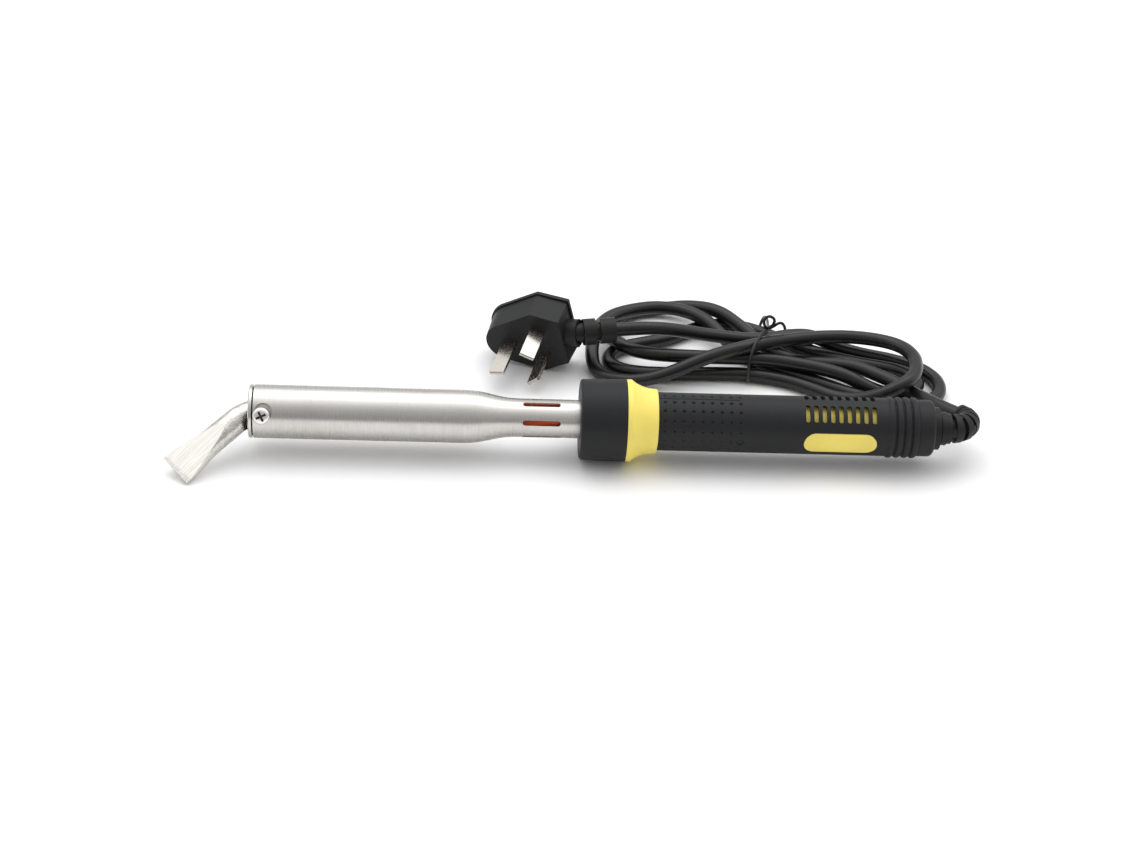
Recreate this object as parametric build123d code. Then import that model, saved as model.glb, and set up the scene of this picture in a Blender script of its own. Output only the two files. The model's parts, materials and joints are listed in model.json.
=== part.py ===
"""Bent-tip mains soldering iron with its plug and hanked cord. Millimetres, +Z up.

The iron lies along X with its tip towards -X. It rests on its collar and on the corner of its tip.
Stations along the iron are measured from the front face of the collar, so they are negative on the
barrel side. Angles round the iron are measured from the -Y side upwards: 90 degrees is the top.
"""

import os
from math import acos, atan2, cos, degrees, hypot, radians, sin, sqrt, tan

from build123d import *

os.makedirs("parts", exist_ok=True)

# ---------------------------------------------------------------- driving dimensions
# barrel
BARREL_R = 11.0
BARREL_WALL = 0.8
BARREL_FRONT = -132.7
TAPER_FRONT = -48.4
TAPER_REAR = -24.7
NECK_R = 7.9
NECK_END = 6.0
END_RING_THICK = 1.5
END_RING_GAP = 0.6
END_RING_BORE_R = 8.8
END_RING_GROOVE_R = 9.5
SLOT_FRONT = -23.5
SLOT_REAR = -8.0
SLOT_WIDTH = 2.2
SLOT_COUNT = 6
SLOT_ANGLE = 16.8
# tip
TIP_R = 5.4
TIP_BEND = 46.0
TIP_BEND_R = 18.5
TIP_BEND_REACH = 2.5
TIP_LEG = 39.5
SHANK_IN = 50.0
EDGE_WIDTH = 15.0
EDGE_SKEW = 4.5
EDGE_THICK = 1.3
FLAT_LENGTH = 26.5
FLARE_LENGTH = 21.0
# tip screw
SCREW_SETBACK = 3.5
SCREW_ANGLE = 22.8
SCREW_R = 1.75
SCREW_HEAD_R = 3.5
SCREW_HEAD_H = 2.1
SCREW_GAP = 0.25
SCREW_HOLE_SETBACK = 4.2
SCREW_HOLE_ANGLE = 31.0
SCREW_HOLE_R = 3.6
RUNNING = 0.05
# heater
BUSH_SETBACK = 1.1
BUSH_LENGTH = 11.6
HEATER_WALL = 0.9
HEATER_REAR = -62.0
MICA = 0.4
WINDING_WIRE = 0.8
WINDING_PITCH = 3.4
INSULATOR_THICK = 4.0
LEAD_R = 1.3
LEAD_CORE_R = 0.7
LEAD_CIRCLE_R = 4.6
# flange and collar
FLANGE_THICK = 2.0
FLANGE_SCREW_R = 1.4
FLANGE_HEAD_H = 1.2
COLLAR_R = 17.0
COLLAR_DRAFT = 0.4
COLLAR_LENGTH = 18.9
COLLAR_SKIRT = 2.2
# handle
CONE_LAND = 2.2
CONE_END = 31.7
CONE_END_R = 13.2
GRIP_R = 12.0
GRIP_WALL = 1.35
CORE_WALL = 2.0
FRONT_WALL = 6.0
SEAM_ANGLE = 84.0
DIMPLE_FIRST = 34.3
DIMPLE_PITCH = 3.88
DIMPLE_COLUMNS = 9
DIMPLE_SIZE = 2.1
DIMPLE_DEPTH = 0.6
DIMPLE_ROW_ANGLE = 20.4
DIMPLE_SHARES = (1.0, 1.0, 0.9, 0.62, 0.45, 0.4)
VENT_FIRST = 92.85
VENT_PITCH = 3.42
VENT_COUNT = 9
VENT_WIDTH = 1.9
VENT_SPAN = 37.0
VENT_ROW_ANGLE = 27.5
VENT_WELL = 1.0
INLAY_FRONT = 91.6
INLAY_REAR = 121.6
INLAY_WIDTH = 9.6
INLAY_ANGLE = -7.5
INLAY_GAP = 0.2
RIB_FIRST = 127.9
RIB_PITCH = 3.25
RIB_COUNT = 4
RIB_R = 12.6
TAIL_R = 11.7
TAIL_END = 146.0
TAIL_WALL = 5.0
# cord and its strain relief
CORD_R = 3.0
RELIEF_FLANGE_R = 10.3
RELIEF_NECK_R = 8.85
RELIEF_RING_R = 6.9
RELIEF_R = 6.3
RELIEF_END_R = 4.5
RELIEF_BEND_X = 153.5
RELIEF_BEND_R = 9.0
RELIEF_TURN = 130.0
RELIEF_DIP = 9.0
RELIEF_SLOTS = 6
RELIEF_SLOT_SHARE = 0.4
RELIEF_BRIDGE = 3.4
JACKET_FRONT = 98.0
CLAMP_FRONT = 102.0
CLAMP_LENGTH = 8.0
CLAMP_SCREW_R = 0.9
CORE_WIRE_R = 1.1
# terminal block
BLOCK_FRONT = 52.0
BLOCK_LENGTH = 24.0
BLOCK_WIDTH = 12.6
BLOCK_HEIGHT = 8.0
BLOCK_PITCH = 4.2
INSERT_R = 1.6
TERMINAL_SCREW_R = 0.9
# plug
PLUG_PIN_WIDTH = 6.4
PLUG_PIN_THICK = 1.5
PLUG_EARTH_LENGTH = 21.0
PLUG_LINE_LENGTH = 18.0
PLUG_EARTH_U = -10.31
PLUG_LINE_U = 3.96
PLUG_LINE_V = 6.86
PLUG_LINE_TURN = 30.0
PLUG_DEPTH = 12.8
PLUG_RIM = 1.7
PLUG_RELIEF_R = 5.9
PLUG_CENTRE = (-18.3, 63.8, -2.4)
PLUG_CORDWARD = (0.927, -0.315, 0.204)
PLUG_PINWARD = (-0.279, -0.942, -0.186)
# hank and tie
HANK_HEIGHT = 15.0
TIE_X = 80.0
TIE_THICK = 1.3

# ---------------------------------------------------------------- derived sizes
AXIS_HEIGHT = COLLAR_R
BARREL_BORE_R = BARREL_R - BARREL_WALL
NECK_BORE_R = NECK_R - BARREL_WALL
RING_FRONT = BARREL_FRONT - END_RING_GAP - END_RING_THICK
TIP_BEND_CORNER = BARREL_FRONT - TIP_BEND_REACH
SCREW_X = BARREL_FRONT + SCREW_SETBACK
SCREW_HOLE_X = BARREL_FRONT + SCREW_HOLE_SETBACK
BUSH_FRONT = BARREL_FRONT + BUSH_SETBACK
BUSH_REAR = BUSH_FRONT + BUSH_LENGTH
TIP_BORE_R = TIP_R + RUNNING
HEATER_R = TIP_BORE_R + HEATER_WALL
BEND_TANGENT = TIP_BEND_R * tan(radians(TIP_BEND / 2))
BEND_START = TIP_BEND_CORNER + BEND_TANGENT
SHANK_END = BEND_START + SHANK_IN
CORE_R = GRIP_R - GRIP_WALL - RUNNING
CORE_BORE_R = CORE_R - CORE_WALL
CORE_END = TAIL_END - TAIL_WALL - 2.5
FLANGE_R = COLLAR_R - COLLAR_SKIRT - 0.4
FLANGE_FRONT = NECK_END - FLANGE_THICK
FLANGE_HEAD_R = FLANGE_SCREW_R * 1.55
FLANGE_PCD_R = (NECK_R + FLANGE_R) / 2 + 0.3
CLAMP_SCREW_Y = CORD_R + 1.6
# the bend is rolled sideways until the lower corner of the chisel edge just clears the floor
CORNER_DROP = TIP_LEG * sin(radians(TIP_BEND)) + EDGE_WIDTH / 2 * cos(radians(TIP_BEND - EDGE_SKEW))
CORNER_LEAN = atan2(EDGE_THICK / 2, CORNER_DROP)
TIP_ROLL = degrees(CORNER_LEAN + acos((AXIS_HEIGHT - 0.05) / hypot(CORNER_DROP, EDGE_THICK / 2)))
# angles of each lead at the heater, at the start and at the end of the slots, and its way in the block
LEADS = {"lead_live": (76, 79, 74, 0), "lead_neutral": (-38, -10, 21, -1), "lead_earth": (205, 215, 225, 1)}
# where each core leaves the cord's jacket
CORES = {"core_live": (1.4, -0.8, 1), "core_neutral": (0.0, 1.5, 0), "core_earth": (-1.4, -0.8, -1)}


# ---------------------------------------------------------------- helpers
def around(x, angle, radius=0.0):
    """The plane at station x whose normal points outwards at this angle round the iron."""
    out = Vector(0, -cos(radians(angle)), sin(radians(angle)))
    return Plane(origin=Vector(x, 0, 0) + out * radius, x_dir=(1, 0, 0), z_dir=out)


def spun(plane, angle):
    """The plane turned about its own normal."""
    x_dir = plane.x_dir * cos(radians(angle)) + plane.y_dir * sin(radians(angle))
    return Plane(origin=plane.origin, x_dir=x_dir, z_dir=plane.z_dir)


def turned(*profile):
    """A ring with this (station, radius) outline, turned about the iron's axis."""
    outline = Polyline(*[(x, r) for x, r in profile], close=True)
    return revolve(make_face(outline), Axis.X)


def ring(x0, x1, outer, inner=0.0):
    """A plain tube between two stations."""
    return turned((x0, inner), (x1, inner), (x1, outer), (x0, outer))


def stud(plane, radius, low, high):
    """A round stud along a plane's normal, between two heights above the plane."""
    foot = Plane(origin=plane.origin + plane.z_dir * low, x_dir=plane.x_dir, z_dir=plane.z_dir)
    return extrude(foot * Circle(radius), high - low)


def slab(plane, length, width, low, high):
    """A rectangular block on a plane, between two heights above it."""
    foot = Plane(origin=plane.origin + plane.z_dir * low, x_dir=plane.x_dir, z_dir=plane.z_dir)
    return extrude(foot * Rectangle(length, width), high - low)


def stadium(plane, length, width, low, high):
    """A block with round ends on a plane, between two heights above it."""
    foot = Plane(origin=plane.origin + plane.z_dir * low, x_dir=plane.x_dir, z_dir=plane.z_dir)
    return extrude(foot * SlotOverall(length, width), high - low)


def bend_radii(points):
    """The largest arcs that a route's runs allow, one for each of its corners."""
    radii = []
    for before, corner, after in zip(points, points[1:], points[2:]):
        arriving = Vector(*corner) - Vector(*before)
        leaving = Vector(*after) - Vector(*corner)
        half_turn = radians(arriving.get_angle(leaving)) / 2
        radii.append(0.45 * min(arriving.length, leaving.length) / tan(half_turn))
    return radii


def route(name, points):
    """A smooth line of straight runs and tangent arcs, whose radii are printed."""
    radii = bend_radii(points)
    print(name, "bend radii", [round(r, 1) for r in radii])
    return FilletPolyline(*points, radius=radii)


def round_tube(path, radius):
    """A solid of round section along a path."""
    start = Plane(origin=path @ 0, z_dir=path % 0)
    return sweep(start * Circle(radius), path=path)


def polar(x, angle, radius):
    """The point at this station, angle and distance from the iron's axis."""
    return (x, -radius * cos(radians(angle)), radius * sin(radians(angle)))


# ---------------------------------------------------------------- barrel and heater
def barrel_tube():
    """Stainless tube with a swaged neck, six cooling slots and the clearance hole for the screw."""
    reach = (TAPER_REAR - TAPER_FRONT) * 0.45
    outer = Bezier((TAPER_FRONT, BARREL_R), (TAPER_FRONT + reach, BARREL_R), (TAPER_REAR - reach, NECK_R),
                   (TAPER_REAR, NECK_R))
    inner = Bezier((TAPER_FRONT, BARREL_BORE_R), (TAPER_FRONT + reach, BARREL_BORE_R),
                   (TAPER_REAR - reach, NECK_BORE_R), (TAPER_REAR, NECK_BORE_R))
    profile = make_face([
        Line((BARREL_FRONT, BARREL_BORE_R), (BARREL_FRONT, BARREL_R)),
        Line((BARREL_FRONT, BARREL_R), (TAPER_FRONT, BARREL_R)),
        outer,
        Line((TAPER_REAR, NECK_R), (NECK_END, NECK_R)),
        Line((NECK_END, NECK_R), (NECK_END, NECK_BORE_R)),
        Line((NECK_END, NECK_BORE_R), (TAPER_REAR, NECK_BORE_R)),
        inner,
        Line((TAPER_FRONT, BARREL_BORE_R), (BARREL_FRONT, BARREL_BORE_R)),
    ])
    tube = revolve(profile, Axis.X)
    middle = (SLOT_FRONT + SLOT_REAR) / 2
    for index in range(SLOT_COUNT):
        wall = around(middle, SLOT_ANGLE + index * 360 / SLOT_COUNT)
        tube -= stadium(wall, SLOT_REAR - SLOT_FRONT, SLOT_WIDTH, NECK_BORE_R / 2, NECK_R + 1)
    return tube - stud(around(SCREW_HOLE_X, SCREW_HOLE_ANGLE), SCREW_HOLE_R, BARREL_BORE_R / 2, BARREL_R + 1)


def barrel_end_ring():
    """Pressed-in end ring that leaves a fine shadow line in front of the barrel."""
    spigot = BARREL_FRONT + 1.1
    rim = 0.4
    return turned(
        (RING_FRONT, END_RING_BORE_R), (spigot, END_RING_BORE_R), (spigot, BARREL_BORE_R),
        (BARREL_FRONT + 0.2, BARREL_BORE_R), (BARREL_FRONT + 0.2, END_RING_GROOVE_R),
        (RING_FRONT + END_RING_THICK, END_RING_GROOVE_R), (RING_FRONT + END_RING_THICK, BARREL_R),
        (RING_FRONT + rim, BARREL_R), (RING_FRONT, BARREL_R - rim),
    )


def tip_bush():
    """Steel bush that carries the heater tube, and the thread of the tip's screw."""
    mouth = BEND_START - 0.5
    bush = turned(
        (BUSH_FRONT, END_RING_BORE_R - 0.7), (mouth, TIP_BORE_R), (BUSH_REAR, TIP_BORE_R),
        (BUSH_REAR, BARREL_BORE_R), (BUSH_FRONT, BARREL_BORE_R),
    )
    return bush - stud(around(SCREW_X, SCREW_ANGLE), SCREW_R + RUNNING, 0, BARREL_R)


def heater_tube():
    """Closed steel sleeve that the tip's shank slides into."""
    return turned(
        (BUSH_REAR, TIP_BORE_R), (HEATER_REAR - 1.2, TIP_BORE_R), (HEATER_REAR - 1.2, 0),
        (HEATER_REAR, 0), (HEATER_REAR, HEATER_R), (BUSH_REAR, HEATER_R),
    )


def heater_winding():
    """Helical resistance wire between the two mica wraps."""
    front = BUSH_REAR + INSULATOR_THICK + 2
    length = HEATER_REAR - INSULATOR_THICK - 4 - front
    radius = HEATER_R + MICA + WINDING_WIRE / 2 + 0.02
    coil = Helix(WINDING_PITCH, length, radius, center=(front, 0, 0), direction=(1, 0, 0))
    section = Plane(origin=coil @ 0, z_dir=coil % 0) * Circle(WINDING_WIRE / 2)
    return sweep(section, path=coil, is_frenet=True)


def rear_insulator():
    """Ceramic disc with three holes for the leads."""
    disc = ring(HEATER_REAR, HEATER_REAR + INSULATOR_THICK, BARREL_BORE_R)
    for at_heater, *_ in LEADS.values():
        foot = Plane(origin=polar(HEATER_REAR, at_heater, LEAD_CIRCLE_R), z_dir=(1, 0, 0))
        disc -= stud(foot, LEAD_R + RUNNING, -1, INSULATOR_THICK + 1)
    return disc


def lead(name):
    """A sleeved lead from the heater to its terminal, with a bare end in the terminal."""
    at_heater, at_slot_front, at_slot_rear, way = LEADS[name]
    start = HEATER_REAR + 0.5
    terminal = way * BLOCK_PITCH
    points = [
        polar(start, at_heater, LEAD_CIRCLE_R), polar(start + 12, at_heater + 1, LEAD_CIRCLE_R + 0.05),
        polar(SLOT_FRONT - 4, at_slot_front, LEAD_CIRCLE_R + 0.3),
        polar(SLOT_REAR, at_slot_rear, LEAD_CIRCLE_R + 0.4),
        polar(NECK_END + FRONT_WALL + 2, at_slot_rear + 2, LEAD_CIRCLE_R),
        (BLOCK_FRONT - 14, terminal + 0.3, 0.4),
        (BLOCK_FRONT - 5, terminal, 0.0),
        (BLOCK_FRONT, terminal + 0.01, 0.0),
    ]
    sleeve = round_tube(route(name, points), LEAD_R)
    end = Plane(origin=(BLOCK_FRONT, terminal, 0), z_dir=(1, 0, 0))
    return sleeve + stud(end, LEAD_CORE_R, -1, BLOCK_LENGTH / 2 - 3)


def barrel_flange():
    """Welded flange by which the barrel is screwed to the handle."""
    flange = ring(FLANGE_FRONT, NECK_END, FLANGE_R, NECK_R)
    for plane in flange_screw_planes():
        flange -= stud(plane, FLANGE_SCREW_R + 0.15, -FLANGE_THICK - 1, 1)
    return flange


def flange_screw_planes():
    """The three screw places on the rear face of the flange."""
    spots = [polar(NECK_END, angle, FLANGE_PCD_R) for angle in (90, 210, 330)]
    return [Plane(origin=spot, z_dir=(1, 0, 0)) for spot in spots]


def flange_screws():
    """Three cheese-head screws with slotted heads."""
    screws = []
    for plane in flange_screw_planes():
        screw = stud(plane, FLANGE_SCREW_R, -FLANGE_THICK, FRONT_WALL - 1)
        screw += stud(plane, FLANGE_HEAD_R, -FLANGE_THICK - FLANGE_HEAD_H, -FLANGE_THICK)
        screws.append(screw - slab(plane, 8, 0.6, -FLANGE_THICK - FLANGE_HEAD_H - 1, -FLANGE_THICK - 0.6))
    return Compound(screws)


# ---------------------------------------------------------------- tip and its screw
def tip():
    """Bent copper bit, swaged out to a wide chisel with two filed flats."""
    turn = radians(TIP_BEND)
    straight = TIP_LEG - BEND_TANGENT
    along = Vector(-cos(turn), 0, -sin(turn))
    bend_end = Vector(TIP_BEND_CORNER, 0, 0) + along * BEND_TANGENT
    shank = ring(BEND_START, SHANK_END - 0.8, TIP_R) + turned(
        (SHANK_END - 0.8, 0), (SHANK_END, 0), (SHANK_END, TIP_R - 0.8), (SHANK_END - 0.8, TIP_R))
    centre = Vector(BEND_START, 0, -TIP_BEND_R)
    pivot = Axis(origin=centre, direction=(0, 1, 0))
    elbow = revolve(Plane(origin=(BEND_START, 0, 0), z_dir=(-1, 0, 0)) * Circle(TIP_R), pivot, -TIP_BEND)
    across = Vector(-sin(turn), 0, cos(turn))
    plain = straight - FLARE_LENGTH
    stem = extrude(Plane(origin=bend_end, x_dir=across, z_dir=along) * Circle(TIP_R), plain)
    sections = [Plane(origin=bend_end + along * plain, x_dir=across, z_dir=along) * Circle(TIP_R)]
    for share, growth in ((0.3, 0.2), (0.65, 0.72), (1.0, 1.0)):
        foot = bend_end + along * (plain + FLARE_LENGTH * share)
        half = TIP_R + (EDGE_WIDTH / 2 - TIP_R) * growth
        skew = radians(EDGE_SKEW * share)
        ahead = along * cos(skew) + across * sin(skew)
        aside = across * cos(skew) - along * sin(skew)
        sections.append(Plane(origin=foot, x_dir=aside, z_dir=ahead) * Ellipse(half, TIP_R))
    chisel = loft(sections)
    body = shank + elbow + stem + chisel
    edge = bend_end + along * straight
    slope = atan2(TIP_R - EDGE_THICK / 2, FLAT_LENGTH)
    for side in (1, -1):
        lip = edge + Vector(0, side * EDGE_THICK / 2, 0)
        outwards = Vector(0, side * cos(slope), 0) + ahead * sin(slope)
        flat = Plane(origin=lip, x_dir=ahead.cross(Vector(0, side, 0)), z_dir=outwards)
        body -= extrude(flat * Rectangle(EDGE_WIDTH * 2, FLAT_LENGTH * 3), TIP_R * 2)
    return body.rotate(Axis.X, -TIP_ROLL)


def tip_screw():
    """Cross-recessed pan-head screw that clamps the tip's shank."""
    seat = BARREL_R + 0.1
    plane = around(SCREW_X, SCREW_ANGLE)
    lip = 0.6
    dome = seat + SCREW_HEAD_H
    head = make_face([
        Line((0, seat), (SCREW_HEAD_R, seat)),
        Line((SCREW_HEAD_R, seat), (SCREW_HEAD_R, seat + lip)),
        Bezier(
            (SCREW_HEAD_R, seat + lip), (SCREW_HEAD_R * 0.93, dome - 0.1), (SCREW_HEAD_R * 0.5, dome), (0, dome)
        ),
        Line((0, dome), (0, seat)),
    ])
    screw = plane * revolve(Plane.XZ * head, Axis.Z)
    screw += stud(plane, SCREW_R, TIP_R + SCREW_GAP, seat)
    for turn in (25, 115):
        screw -= slab(spun(plane, turn), SCREW_HEAD_R * 1.25, 0.95, dome - 1.3, dome + 1)
    return screw


# ---------------------------------------------------------------- handle
def front_collar():
    """Black guard collar, a cup that hides the flange and its screws."""
    edge = 1.2
    bore = NECK_R + 0.2
    inside = FLANGE_R + 0.1
    front = COLLAR_R - COLLAR_DRAFT
    profile = make_face([
        Line((0, bore), (0, front - edge)),
        ThreePointArc((0, front - edge), (edge * 0.29, front - edge * 0.29), (edge, front)),
        Line((edge, front), (COLLAR_LENGTH, COLLAR_R)),
        Line((COLLAR_LENGTH, COLLAR_R), (COLLAR_LENGTH, inside)),
        Line((COLLAR_LENGTH, inside), (FLANGE_FRONT, inside)),
        Line((FLANGE_FRONT, inside), (FLANGE_FRONT, bore)),
        Line((FLANGE_FRONT, bore), (0, bore)),
    ])
    collar = revolve(profile, Axis.X)
    for plane in flange_screw_planes():
        collar -= stud(plane, FLANGE_HEAD_R + 0.2, -FLANGE_THICK - FLANGE_HEAD_H - 0.2, -FLANGE_THICK)
    return collar


def inlay_planes():
    """The planes of the two oval inlays, mirrored about the handle's top line."""
    middle = (INLAY_FRONT + INLAY_REAR) / 2
    return [around(middle, INLAY_ANGLE), around(middle, 180 - INLAY_ANGLE)]


def handle_core():
    """Yellow inner moulding: spigot, flared cone, inner tube, oval lands and the clamp's boss."""
    spigot = FLANGE_R
    land = COLLAR_R - 0.1
    land_end = COLLAR_LENGTH + CONE_LAND
    lip = 0.6
    wall_end = NECK_END + FRONT_WALL
    profile = make_face([
        Line((NECK_END, NECK_BORE_R - 0.6), (NECK_END, spigot)),
        Line((NECK_END, spigot), (COLLAR_LENGTH, spigot)),
        Line((COLLAR_LENGTH, spigot), (COLLAR_LENGTH, land)),
        Line((COLLAR_LENGTH, land), (land_end, land)),
        Bezier((land_end, land), (land_end + 2.6, land - 2.3), (land_end + 5.5, CONE_END_R + 0.25),
               (CONE_END - lip, CONE_END_R)),
        ThreePointArc((CONE_END - lip, CONE_END_R), (CONE_END - lip * 0.29, CONE_END_R - lip * 0.29),
                      (CONE_END, CONE_END_R - lip)),
        Line((CONE_END, CONE_END_R - lip), (CONE_END, CORE_R)),
        Line((CONE_END, CORE_R), (CORE_END, CORE_R)),
        Line((CORE_END, CORE_R), (CORE_END, CORE_BORE_R)),
        Line((CORE_END, CORE_BORE_R), (wall_end, CORE_BORE_R)),
        Line((wall_end, CORE_BORE_R), (wall_end, NECK_BORE_R - 0.6)),
        Line((wall_end, NECK_BORE_R - 0.6), (NECK_END, NECK_BORE_R - 0.6)),
    ])
    core = revolve(profile, Axis.X)
    for plane in flange_screw_planes():
        core -= stud(plane, FLANGE_SCREW_R, -1, FRONT_WALL - 1)
    core -= ring(INLAY_FRONT - 1, INLAY_REAR + 1, CORE_R + 0.1, CORE_R - VENT_WELL)
    shell = ring(INLAY_FRONT - 0.5, INLAY_REAR + 0.5, GRIP_R, CORE_R - VENT_WELL - 0.3)
    for plane in inlay_planes():
        core += shell & stadium(plane, INLAY_REAR - INLAY_FRONT, INLAY_WIDTH, CORE_R / 3, GRIP_R + 1)
    inside = ring(CLAMP_FRONT, CLAMP_FRONT + CLAMP_LENGTH, CORE_BORE_R + 0.3)
    bed = Plane(origin=(CLAMP_FRONT + CLAMP_LENGTH / 2, 0, 0))
    core += inside & slab(bed, CLAMP_LENGTH, CORE_BORE_R * 3, -CORE_BORE_R * 2, -CORD_R)
    for side in (-CLAMP_SCREW_Y, CLAMP_SCREW_Y):
        core -= stud(Plane(origin=bed.origin + Vector(0, side, 0)), CLAMP_SCREW_R, -CORE_BORE_R + 2, 0)
    return core


def dimple(station, angle, share):
    """The cutter for one diamond-shaped dimple that narrows inwards, at this share of the full size."""
    spot = spun(around(station, angle), 45)
    side = DIMPLE_SIZE / sqrt(2) * share
    depth = DIMPLE_DEPTH * share
    slope = (side - 0.2) / 2 / depth
    top = side + 2 * slope * 0.3
    mouth = Plane(origin=spot.origin + spot.z_dir * (GRIP_R + 0.3), x_dir=spot.x_dir, z_dir=spot.z_dir)
    foot = Plane(origin=spot.origin + spot.z_dir * (GRIP_R - depth), x_dir=spot.x_dir, z_dir=spot.z_dir)
    return loft([mouth * Rectangle(top, top), foot * Rectangle(0.2, 0.2)])


def grip_sleeve():
    """Black outer moulding with dimples, vents, oval windows, four ribs and the tail."""
    inner = GRIP_R - GRIP_WALL
    valley = TAIL_R - 0.1
    half = RIB_PITCH / 2 - 0.12
    lines = [Line((CONE_END, inner), (CONE_END, GRIP_R))]
    here = (CONE_END, GRIP_R)
    for index in range(RIB_COUNT):
        middle = RIB_FIRST + index * RIB_PITCH
        foot = (middle - half, GRIP_R if index == 0 else valley)
        if foot[1] != here[1]:
            lines.append(Line(here, (here[0], foot[1])))
            here = (here[0], foot[1])
        lines.append(Line(here, foot))
        here = (middle + half, valley)
        lines.append(ThreePointArc(foot, (middle, RIB_R), here))
    rounding = 1.9
    lines += [
        Line(here, (here[0] + 0.5, TAIL_R)),
        Line((here[0] + 0.5, TAIL_R), (TAIL_END - rounding, TAIL_R)),
        ThreePointArc((TAIL_END - rounding, TAIL_R), (TAIL_END - rounding * 0.29, TAIL_R - rounding * 0.29),
                      (TAIL_END, TAIL_R - rounding)),
        Line((TAIL_END, TAIL_R - rounding), (TAIL_END, RELIEF_NECK_R + 0.1)),
        Line((TAIL_END, RELIEF_NECK_R + 0.1), (TAIL_END - TAIL_WALL, RELIEF_NECK_R + 0.1)),
        Line((TAIL_END - TAIL_WALL, RELIEF_NECK_R + 0.1), (TAIL_END - TAIL_WALL, inner)),
        Line((TAIL_END - TAIL_WALL, inner), (CONE_END, inner)),
    ]
    sleeve = revolve(make_face(lines), Axis.X)
    cutters = []
    for column in range(DIMPLE_COLUMNS):
        station = DIMPLE_FIRST + column * DIMPLE_PITCH
        for row, share in enumerate(DIMPLE_SHARES):
            swing = (row + 0.5) * DIMPLE_ROW_ANGLE
            cutters.append(dimple(station, SEAM_ANGLE - swing, share))
            cutters.append(dimple(station, SEAM_ANGLE + swing, share))
    chord = 2 * GRIP_R * sin(radians(VENT_SPAN / 2))
    for index in range(VENT_COUNT):
        for angle in (SEAM_ANGLE - VENT_ROW_ANGLE, SEAM_ANGLE + VENT_ROW_ANGLE):
            spot = around(VENT_FIRST + index * VENT_PITCH, angle)
            cutters.append(stadium(spun(spot, 90), chord, VENT_WIDTH, GRIP_R / 2, GRIP_R + 1))
    for plane in inlay_planes():
        length = INLAY_REAR - INLAY_FRONT + 2 * INLAY_GAP
        cutters.append(stadium(plane, length, INLAY_WIDTH + 2 * INLAY_GAP, GRIP_R / 3, GRIP_R + 1))
    seam_end = DIMPLE_FIRST + (DIMPLE_COLUMNS - 1) * DIMPLE_PITCH
    seam = around((CONE_END + seam_end) / 2, SEAM_ANGLE)
    cutters.append(slab(seam, seam_end - CONE_END - 0.4, 0.3, GRIP_R - 0.2, GRIP_R + 1))
    cutters.append(stud(around(seam_end, INLAY_ANGLE), DIMPLE_SIZE * 0.7, GRIP_R - 0.35, GRIP_R + 1))
    return sleeve - cutters


# ---------------------------------------------------------------- inside the handle
def terminal_block():
    """Three-way block with a bore along each way and two screw holes on each."""
    block = slab(Plane(origin=(BLOCK_FRONT + BLOCK_LENGTH / 2, 0, 0)), BLOCK_LENGTH, BLOCK_WIDTH,
                 -BLOCK_HEIGHT / 2, BLOCK_HEIGHT / 2)
    for way in (-1, 0, 1):
        end = Plane(origin=(BLOCK_FRONT, way * BLOCK_PITCH, 0), z_dir=(1, 0, 0))
        block -= stud(end, INSERT_R, -1, BLOCK_LENGTH + 1)
        for plane in terminal_screw_planes(way):
            block -= stud(plane, TERMINAL_SCREW_R + 0.3, 0, BLOCK_HEIGHT)
    return block


def terminal_screw_planes(way):
    """The places of the two screws on one way of the block."""
    stations = (BLOCK_FRONT + BLOCK_LENGTH * share for share in (0.28, 0.72))
    return [Plane(origin=(station, way * BLOCK_PITCH, 0)) for station in stations]


def terminal_inserts():
    """Three brass tubes, one in each way."""
    inserts = []
    for way in (-1, 0, 1):
        end = Plane(origin=(BLOCK_FRONT, way * BLOCK_PITCH, 0), z_dir=(1, 0, 0))
        insert = stud(end, INSERT_R, 1, BLOCK_LENGTH - 1) - stud(end, LEAD_CORE_R, -1, BLOCK_LENGTH + 1)
        for plane in terminal_screw_planes(way):
            insert -= stud(plane, TERMINAL_SCREW_R, 0, BLOCK_HEIGHT)
        inserts.append(insert)
    return Compound(inserts)


def terminal_screws():
    """Six slotted grub screws."""
    screws = []
    for way in (-1, 0, 1):
        for plane in terminal_screw_planes(way):
            screw = stud(plane, TERMINAL_SCREW_R, LEAD_CORE_R, BLOCK_HEIGHT / 2 - 0.6)
            screws.append(screw - slab(plane, 4, 0.4, BLOCK_HEIGHT / 2 - 1.1, BLOCK_HEIGHT))
    return Compound(screws)


def core_wire(name):
    """One insulated core from the cord's jacket to its terminal."""
    y, z, way = CORES[name]
    block_end = BLOCK_FRONT + BLOCK_LENGTH
    terminal = way * BLOCK_PITCH
    points = [
        (block_end, terminal, 0), (block_end + 5, terminal, 0), (JACKET_FRONT - 5, y, z), (JACKET_FRONT, y, z)
    ]
    wire = round_tube(route(name, points), CORE_WIRE_R)
    end = Plane(origin=(block_end, terminal, 0), z_dir=(-1, 0, 0))
    return wire + stud(end, LEAD_CORE_R, -0.5, BLOCK_LENGTH / 2 - 3)


def cord_clamp():
    """Saddle that presses the cord's jacket onto the boss in the handle."""
    middle = Plane(origin=(CLAMP_FRONT + CLAMP_LENGTH / 2, 0, 0))
    top = CORD_R + 1.4
    saddle = slab(middle, CLAMP_LENGTH, 2 * (CLAMP_SCREW_Y + 1.5), CORD_R - 1.0, top)
    saddle -= ring(CLAMP_FRONT - 1, CLAMP_FRONT + CLAMP_LENGTH + 1, CORD_R)
    for side in (-CLAMP_SCREW_Y, CLAMP_SCREW_Y):
        saddle -= stud(Plane(origin=middle.origin + Vector(0, side, 0)), CLAMP_SCREW_R + 0.1, 0, top + 1)
    return saddle


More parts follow.
